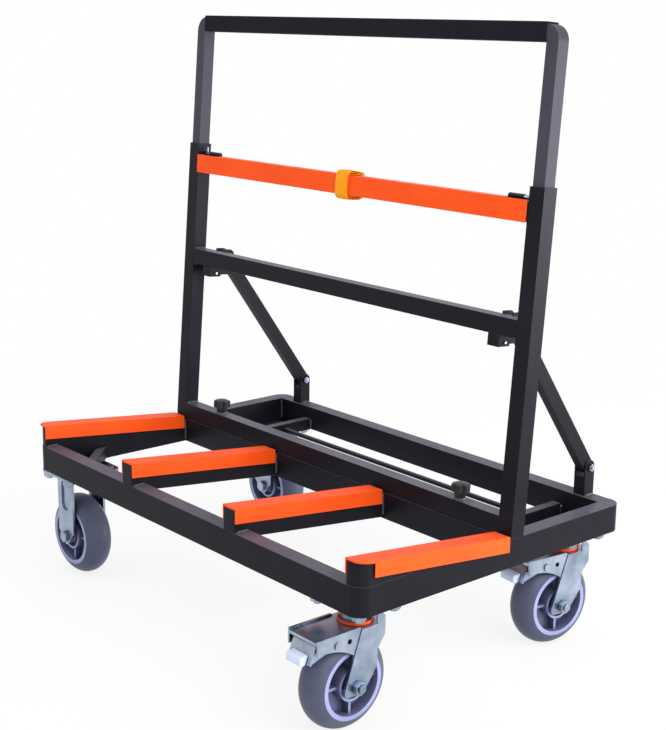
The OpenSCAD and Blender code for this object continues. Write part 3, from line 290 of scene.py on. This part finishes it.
# rounded edges by material slot, width in metres and segments, and the finer widths of small nodes
rounding = {"black_coat": (0.0009, 2), "orange_cap": (0.0008, 2), "zinc": (0.0006, 2), "hub": (0.0009, 2),
            "pedal_tip": (0.0018, 3), "knob": (0.0009, 2), "grip": (0.0006, 2), "tread": (0.0006, 2),
            "orange_seal": (0.0008, 2)}
fineRounding = {"frame_hardware": 0.0003, "caster_bolts": 0.0004, "left_latch_bolt": 0.0003,
                "right_latch_bolt": 0.0003, "latch_barrels": 0.0002, "latch_springs": 0.0}
ownFinish = {"handle_tube": "handle"}
# points merged within this distance, faces joined below the first angle, edges rounded above the second
edges = {"merge": 0.00002, "flat": math.radians(0.4), "sharp": math.radians(38)}


def dressNode(name, slot):
    item = nodes[name]
    item.data.materials.clear()
    item.data.materials.append(materials[ownFinish.get(name, slot)])
    width, segments = rounding[slot]
    width = fineRounding.get(name, width)
    if width <= 0:
        return
    weld = item.modifiers.new("weld", "WELD")
    weld.merge_threshold = edges["merge"]
    flat = item.modifiers.new("flat", "DECIMATE")
    flat.decimate_type, flat.angle_limit = "DISSOLVE", edges["flat"]
    bevel = item.modifiers.new("bevel", "BEVEL")
    bevel.width, bevel.segments = width, segments
    bevel.limit_method, bevel.angle_limit = "ANGLE", edges["sharp"]
    normal = item.modifiers.new("normals", "WEIGHTED_NORMAL")
    normal.keep_sharp = False


for entry in frame["record"]["subparts"]:
    if entry["node"] in nodes and entry["material_slot"] in materials:
        dressNode(entry["node"], entry["material_slot"])
print("stage: frame dressed")


# rings of points to one closed skin: rings join in turn, round to the first or shut by a pole at each end
def ringMesh(name, parts, loop):
    points, quads, fans, count = [], [], [], 0
    for rings in parts:
        rows, cols = rings.shape[:2]
        i, j = np.meshgrid(np.arange(rows if loop else rows - 1), np.arange(cols), indexing="ij")
        far, side = (i + 1) % rows, (j + 1) % cols
        corners = np.stack([i * cols + j, far * cols + j, far * cols + side, i * cols + side], -1)
        quads.append(corners.reshape(-1, 4) + count)
        points.append(rings.reshape(-1, 3))
        if not loop:
            k = np.arange(cols)
            first, last = count + rows * cols, count + rows * cols + 1
            fans.append(np.stack([k * 0 + first, k + count, (k + 1) % cols + count], -1))
            top = count + (rows - 1) * cols
            fans.append(np.stack([k * 0 + last, (k + 1) % cols + top, k + top], -1))
            points.append(np.stack([rings[0].mean(0), rings[-1].mean(0)]))
        count += rings.shape[0] * rings.shape[1] + (0 if loop else 2)
    points = np.concatenate(points)
    faces = np.concatenate(quads)
    a, b, c, d = (points[faces[:, k]] for k in range(4))
    volume = (np.cross(b - a, c - a) * a).sum() + (np.cross(c - a, d - a) * a).sum()
    faces = faces.tolist() + (np.concatenate(fans).tolist() if fans else [])
    if volume < 0:
        faces = [face[::-1] for face in faces]
    mesh = bpy.data.meshes.new(name)
    mesh.from_pydata(points.tolist(), [], faces)
    mesh.polygons.foreach_set("use_smooth", np.ones(len(mesh.polygons), bool))
    mesh.update()
    return mesh


def addPiece(name, mesh, body, material):
    item = bpy.data.objects.new(name, mesh)
    bpy.context.scene.collection.objects.link(item)
    item.data.materials.append(material)
    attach(item, body)
    return item


# yellow webbing wound three times round the pad and its black closing patch, in upright coordinates: the inner
# turn lies on the pad, the outer ones are a little slack above and below. A turn reaches deep before and behind
# its middle, over and under it, its corners squarer with the power, and its top falls to the rear from a share
# of its depth
strap = {"x": 0.005, "width": 0.025, "thick": 0.0010, "mid": 0.0110, "rise": 0.4335, "deep": 0.0177, "over": 0.0208,
         "under": 0.0212, "power": 4.6, "fall": 0.15, "from": 0.0, "cup": 0.0002, "steps": 180, "around": 24,
         "walk": 2400, "oval": 0.5, "nose": 0.4}
middleTurn = {"deep": 0.0163, "over": 0.0184, "under": 0.0188, "power": 7.0, "fall": 0.20, "from": 0.15}
innerTurn = {"deep": 0.0149, "over": 0.0160, "under": 0.0163, "power": 15.0, "fall": 0.26, "from": 0.50}
patch = {"from": math.radians(64), "to": math.radians(-52), "lift": 0.0012, "width": 0.0235, "thick": 0.0010,
         "steps": 70, "end": 0.04, "least": 0.02}


# rounded square, |u/deep|^p + |v/tall|^p = 1, tall above and below on its own, whose top falls to the rear,
# walked at an even pace between two angles
def strapPath(spec, start, end, steps, grow, closed):
    t = np.linspace(start, end, spec["walk"])
    u = (spec["deep"] + grow) * np.sign(np.cos(t)) * np.abs(np.cos(t)) ** (2 / spec["power"])
    tall = np.where(np.sin(t) > 0, spec["over"], spec["under"]) + grow
    v = tall * np.sign(np.sin(t)) * np.abs(np.sin(t)) ** (2 / spec["power"])
    over = np.clip(v / spec["over"], 0, 1) ** 2
    v = v - spec["fall"] * np.clip(u - spec["from"] * spec["deep"], 0, None) * over
    run = np.r_[0, np.cumsum(np.hypot(np.diff(u), np.diff(v)))]
    s = np.linspace(0, run[-1], steps, endpoint=not closed)
    return np.stack([np.interp(s, run, u), np.interp(s, run, v)], -1), run[-1]


# flat oval of the fourth power carried along the path, its middle cupped out a little;
# scale narrows the oval ring by ring
def sweepBand(spec, path, width, thick, closed, scale):
    ahead = np.roll(path, -1, 0) - np.roll(path, 1, 0) if closed else np.gradient(path, axis=0)
    ahead /= np.linalg.norm(ahead, axis=1)[:, None]
    outward = np.stack([ahead[:, 1], -ahead[:, 0]], -1)
    outward *= np.sign((outward * path).sum(1))[:, None]
    a = np.linspace(0, 2 * np.pi, spec["around"], endpoint=False)
    across = np.sign(np.cos(a)) * np.abs(np.cos(a)) ** spec["oval"]
    lift = thick / 2 * np.sign(np.sin(a)) * np.abs(np.sin(a)) ** spec["oval"]
    height = scale[:, None] * lift + spec["cup"] * (1 - across ** 2)
    off = spec["mid"] + path[:, None, 0] + outward[:, None, 0] * height
    h = spec["rise"] + path[:, None, 1] + outward[:, None, 1] * height
    return inUpright(spec["x"] + width / 2 * across[None, :] * scale[:, None] ** spec["nose"], off, h)


# woven cloth: shares of the weave and of a cloudy noise in the tone, that noise's scale, span and roughness,
# and the bump's strength and height
cloth = {"weave": 0.45, "cloud": 0.6, "scale": 70.0, "span": (0.3, 0.7), "rough": (0.62, 0.82), "bump": 0.5,
         "height": 0.0002, "specular": 0.25, "bleed": (1.0, 0.6, 0.1), "depth": 0.004}
yellowCloth = {"low": (1.0, 0.30, 0.002), "high": (1.0, 0.40, 0.005), "glow": 0.2, "rib": 560.0}
blackCloth = {"low": (0.010, 0.010, 0.012), "high": (0.026, 0.026, 0.030), "glow": 0.0, "rib": 700.0}


# ribs along the loop crossed by fine picks, both sines read from the place on the band
def weaveGroup():
    tree, given, out = makeGroup("webWeave", [("Rib", 560.0), ("Pick", 900.0)], [
        ("Shade", "NodeSocketFloat"), ("Rough", "NodeSocketFloat"), ("Normal", "NodeSocketVector")])
    place = addNode(tree, "ShaderNodeTexCoord").outputs["Object"]
    split = addNode(tree, "ShaderNodeSeparateXYZ", {0: place})
    turn = mathNode(tree, "ADD", split.outputs["Y"], split.outputs["Z"])
    waves = []
    for value, label in ((split.outputs["X"], "Rib"), (turn, "Pick")):
        cycles = mathNode(tree, "MULTIPLY", value, given.outputs[label])
        waves.append(mathNode(tree, "SINE", mathNode(tree, "MULTIPLY", cycles, math.tau)))
    rib, pick = waves
    weave = rangeNode(tree, mathNode(tree, "ADD", rib, mathNode(tree, "MULTIPLY", rib, pick)), -2.0, 2.0, 0.0, 1.0)
    cloud = noiseNode(tree, place, cloth["scale"], 3.0)
    shade = mathNode(tree, "ADD", mathNode(tree, "MULTIPLY", weave, cloth["weave"]),
                     mathNode(tree, "MULTIPLY", cloud, cloth["cloud"]))
    bump = addNode(tree, "ShaderNodeBump", {"Strength": cloth["bump"], "Distance": cloth["height"],
                                            "Height": weave})
    feed(tree, out.inputs["Shade"], shade)
    feed(tree, out.inputs["Rough"], rangeNode(tree, cloud, *cloth["span"], *cloth["rough"]))
    feed(tree, out.inputs["Normal"], bump.outputs["Normal"])
    return tree


webWeave = weaveGroup()


def webbingMaterial(name, tone):
    mat = bpy.data.materials.new(name)
    mat.use_nodes = True
    tree = mat.node_tree
    shader = tree.nodes["Principled BSDF"]
    shader.inputs["Specular IOR Level"].default_value = cloth["specular"]
    shader.inputs["Subsurface Weight"].default_value = tone["glow"]
    shader.inputs["Subsurface Radius"].default_value = cloth["bleed"]
    shader.inputs["Subsurface Scale"].default_value = cloth["depth"]
    look = fillGroup(tree, webWeave, {"Rib": tone["rib"]})
    feed(tree, shader.inputs["Base Color"], mixColour(tree, look.outputs["Shade"], tone["low"], tone["high"]))
    feed(tree, shader.inputs["Roughness"], look.outputs["Rough"])
    feed(tree, shader.inputs["Normal"], look.outputs["Normal"])
    return mat


def makeStrap():
    turns, length = [], 0.0
    for spec in (strap, {**strap, **middleTurn}, {**strap, **innerTurn}):
        path, run = strapPath(spec, 0, 2 * math.pi, spec["steps"], 0.0, True)
        turns.append(sweepBand(spec, path, spec["width"], spec["thick"], True, np.ones(spec["steps"])))
        length += run
    yellow = webbingMaterial("webbingYellow", yellowCloth)
    loop = addPiece("webbingLoop", ringMesh("webbingLoop", turns, True), "cart", yellow)
    path, _ = strapPath(strap, patch["from"], patch["to"], patch["steps"], patch["lift"], False)
    s = np.linspace(0, 1, patch["steps"])
    scale = np.sqrt(np.clip(np.minimum(s, 1 - s) / patch["end"], patch["least"], 1))
    rings = sweepBand(strap, path, patch["width"], patch["thick"], False, scale)
    black = webbingMaterial("webbingBlack", blackCloth)
    cover = addPiece("webbingPatch", ringMesh("webbingPatch", [rings], False), "cart", black)
    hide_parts("strap_loop")


makeStrap()
print("stage: webbing made")

# weld beads: radius, ripple depth, pitch and bow, points round a bead, rings a ripple, room kept at its ends,
# length of the taper and depth of its back in radii
bead = {"radius": 0.0030, "ripple": 0.14, "pitch": 0.0026, "bow": 0.4, "around": 7, "rings": 6, "fewest": 12,
        "keep": 0.0015, "taper": 1.2, "least": 0.03, "sunk": 0.3}


# quarter round in a corner between two faces, swept along the joint; the radius swells once a pitch, the swell
# bowed along the joint, and shrinks at both ends as the square root of the distance
def beadRings(start, end, faceA, faceB):
    run = end - start
    length = np.linalg.norm(run)
    ahead = run / length
    count = max(bead["fewest"], int(length / bead["pitch"] * bead["rings"]))
    s = np.linspace(0, length, count)
    t = np.linspace(0, math.pi / 2, bead["around"])
    swell = np.abs(np.sin(math.pi * (s[:, None] / bead["pitch"] + bead["bow"] * np.sin(2 * t)[None, :])))
    taper = np.sqrt(np.clip(np.minimum(s, length - s) / (bead["taper"] * bead["radius"]), bead["least"], 1))
    radius = bead["radius"] * taper[:, None] * (1 - bead["ripple"] + bead["ripple"] * swell)
    arc = faceA * np.cos(t)[:, None] + faceB * np.sin(t)[:, None]
    line = start + ahead * s[:, None]
    outer = line[:, None, :] + radius[..., None] * arc[None, :, :]
    inner = line - (faceA + faceB) * (bead["sunk"] * bead["radius"] * taper[:, None])
    return np.concatenate([outer, inner[:, None, :]], 1)


# corners of a node's box in base coordinates
def boxInBase(node):
    return [np.array(p) - inBase(0, 0, 0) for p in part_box(node)]


# joints of the welded frame: widths of the cross members and strut brackets, and the crossbars' lower and
# upper edges
joints = {"member": 0.015, "bracket": 0.020, "crossbars": ((0.0, 0.025), (0.2665, 0.2915), (0.421, 0.446))}


# each bead: start, end and the two ways the faces run from the corner
def beadsOnBase():
    half, keep, deep = base["half"], bead["keep"], base["under"] - base["top"]
    x, y, z = np.eye(3)
    front, mid, rear = (boxInBase(node) for node in ("front_rail", "mid_rail", "rear_rail"))
    member, bracket = boxInBase("cross_members"), boxInBase("lower_brackets")
    found = []
    # mid bars on the front rail, and against the mid rail
    for node in ("left_mid_bar", "right_mid_bar"):
        low, high = boxInBase(node)
        for edge, sign in ((low[0], -1), (high[0], 1)):
            found.append((inBase(edge, keep, 0), inBase(edge, front[1][1] - keep, 0), sign * x, z))
            found.append((inBase(edge, high[1], low[2] + 2 * keep), inBase(edge, high[1], -keep), sign * x, -y))
    for side in (-1, 1):
        # end bars on the front rail
        found.append((inBase(side * half, keep, 0), inBase(side * half, front[1][1] - keep, 0), -side * x, z))
        # rails into the end rails, the front one above its corner gusset
        for place, sign, low in ((front[1][1], 1, member[1][2]), (mid[0][1], -1, deep), (mid[1][1], 1, deep),
                                 (rear[0][1], -1, deep)):
            found.append((inBase(side * half, place, low + keep), inBase(side * half, place, -keep),
                          -side * x, sign * y))
        # cross members into the mid and rear rails
        for edge, turn in ((member[1][0] - joints["member"], -1), (member[1][0], 1)):
            for place, sign in ((mid[1][1], 1), (rear[0][1], -1)):
                found.append((inBase(side * edge, place, deep + keep),
                              inBase(side * edge, place, member[1][2] - keep), side * turn * x, sign * y))
        # strut brackets on the rear rail
        for edge, turn in ((bracket[1][0] - joints["bracket"], -1), (bracket[1][0], 1)):
            found.append((inBase(side * edge, bracket[0][1] + keep, 0),
                          inBase(side * edge, bracket[1][1] - keep, 0), side * turn * x, z))
    return found


# crossbars into the inner faces of the posts, over and under each bar
def beadsOnUpright():
    half, keep = base["half"], bead["keep"]
    x = np.array((1.0, 0, 0))
    up = inUpright(0, 0, 1) - inUpright(0, 0, 0)
    levels = [(h, sign) for low, high in joints["crossbars"] for h, sign in ((low, -1), (high, 1)) if h > 0]
    far = upright["tube"] - keep
    return [(inUpright(side * half, keep, h), inUpright(side * half, far, h), -side * x, sign * up)
            for side in (-1, 1) for h, sign in levels]


weldMesh = ringMesh("weldBeads", [beadRings(*b) for b in beadsOnBase() + beadsOnUpright()], False)
addPiece("weldBeads", weldMesh, "cart", materials["weld"])
print("stage: weld beads made")

# white room: strength and colours of the pale sky from low to high, the floor's half width, tone, roughness
# and glow, and the distances over which that glow grows to white
studio = {"sky": 0.95, "low": (0.30, 0.31, 0.34), "high": (1.0, 0.99, 1.0), "span": (-0.16, 0.7),
          "floor": 14.0, "pale": (0.9, 0.9, 0.9, 1), "rough": 0.9, "floorGlow": 0.82, "near": 0.75, "far": 1.7}
# soft lamps: place, target, width, height and power
lamps = {"keyLamp": ((-1.6, -2.2, 2.4), (0, 0, 0.3), 1.6, 1.6, 12.0),
         "fillLamp": ((2.6, -0.4, 1.8), (0, 0, 0.3), 1.8, 1.8, 44.0),
         "rimLamp": ((2.2, 1.9, 0.5), (0, 0, 0.35), 2.0, 0.8, 62.0)}


# one for the rays that see the backdrop: camera, glossy and transmission rays
def seenMask(tree):
    path = addNode(tree, "ShaderNodeLightPath")
    first = mathNode(tree, "MAXIMUM", path.outputs["Is Camera Ray"], path.outputs["Is Glossy Ray"])
    return mathNode(tree, "MAXIMUM", first, path.outputs["Is Transmission Ray"])


def makeWorld():
    world = bpy.data.worlds.new("studio")
    world.use_nodes = True
    bpy.context.scene.world = world
    tree = world.node_tree
    back = tree.nodes["Background"]
    back.inputs["Color"].default_value = (1, 1, 1, 1)
    place = addNode(tree, "ShaderNodeTexCoord").outputs["Generated"]
    up = addNode(tree, "ShaderNodeSeparateXYZ", {0: place}).outputs["Z"]
    colour = mixColour(tree, rangeNode(tree, up, *studio["span"], 0.0, 1.0), studio["low"], studio["high"])
    sky = addNode(tree, "ShaderNodeBackground", {"Color": colour, "Strength": studio["sky"]})
    mix = addNode(tree, "ShaderNodeMixShader", {0: seenMask(tree), 1: sky.outputs[0], 2: back.outputs[0]})
    feed(tree, tree.nodes["World Output"].inputs["Surface"], mix.outputs[0])


# pale floor that keeps the shadow near the object and runs into the white backdrop further out
def makeFloor():
    mesh = bpy.data.meshes.new("floor")
    r = studio["floor"]
    mesh.from_pydata([(-r, -r, 0), (r, -r, 0), (r, r, 0), (-r, r, 0)], [], [(0, 1, 2, 3)])
    floor = bpy.data.objects.new("floor", mesh)
    bpy.context.scene.collection.objects.link(floor)
    mat = bpy.data.materials.new("paleFloor")
    mat.use_nodes = True
    tree = mat.node_tree
    shader = tree.nodes["Principled BSDF"]
    shader.inputs["Base Color"].default_value = studio["pale"]
    shader.inputs["Roughness"].default_value = studio["rough"]
    place = addNode(tree, "ShaderNodeTexCoord").outputs["Object"]
    away = addNode(tree, "ShaderNodeVectorMath", {0: place}, operation="LENGTH").outputs["Value"]
    glow = rangeNode(tree, away, studio["near"], studio["far"], studio["floorGlow"], 1.0)
    white = addNode(tree, "ShaderNodeEmission")
    seen = mathNode(tree, "MULTIPLY", seenMask(tree), glow)
    mix = addNode(tree, "ShaderNodeMixShader", {0: seen, 1: shader.outputs[0], 2: white.outputs[0]})
    feed(tree, tree.nodes["Material Output"].inputs["Surface"], mix.outputs[0])
    mesh.materials.append(mat)


def areaLight(name, place, target, wide, tall, power):
    data = bpy.data.lights.new(name, "AREA")
    data.shape = "RECTANGLE"
    data.size, data.size_y, data.energy = wide, tall, power
    lamp = bpy.data.objects.new(name, data)
    bpy.context.scene.collection.objects.link(lamp)
    lamp.location = place
    lamp.rotation_euler = (Vector(target) - Vector(place)).to_track_quat("-Z", "Y").to_euler()


makeWorld()
makeFloor()
for name, values in lamps.items():
    areaLight(name, *values)
bpy.context.scene.view_settings.view_transform = "Standard"
print("stage: lights made")
